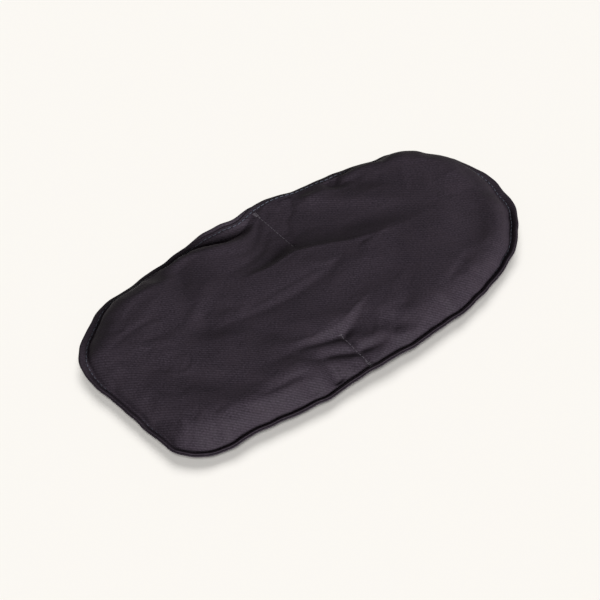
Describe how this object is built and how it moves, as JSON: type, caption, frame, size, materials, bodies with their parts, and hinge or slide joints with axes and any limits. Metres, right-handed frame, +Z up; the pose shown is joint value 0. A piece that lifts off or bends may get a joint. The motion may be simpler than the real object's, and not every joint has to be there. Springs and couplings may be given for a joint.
{
  "type": "eye pillow",
  "caption": "Flat oval cloth eye pillow with a topstitched rim, a loose grain filling and two short tack seams across its middle.",
  "frame": {"origin": "under the middle of the pillow's outline, on the surface it rests on", "axes": "+X along the pillow towards its rounder end, +Y across it towards the far long side, +Z up from the resting surface"},
  "size_m": [0.2198, 0.11, 0.0133],
  "materials": {
    "cloth": "soft cotton twill, charcoal with a plum cast",
    "thread": "matt spun sewing thread, dark blue grey",
    "grain": "dry flax seed, brown"
  },
  "bodies": {
    "root": {"top_panel": "cloth", "bottom_panel": "cloth", "grain_filling": "grain", "joining_seam_needle_thread": "thread", "joining_seam_bobbin_thread": "thread", "edge_needle_thread": "thread", "edge_bobbin_thread": "thread", "far_tack_needle_thread": "thread", "far_tack_bobbin_thread": "thread", "near_tack_needle_thread": "thread", "near_tack_bobbin_thread": "thread"}
  },
  "joints": []
}
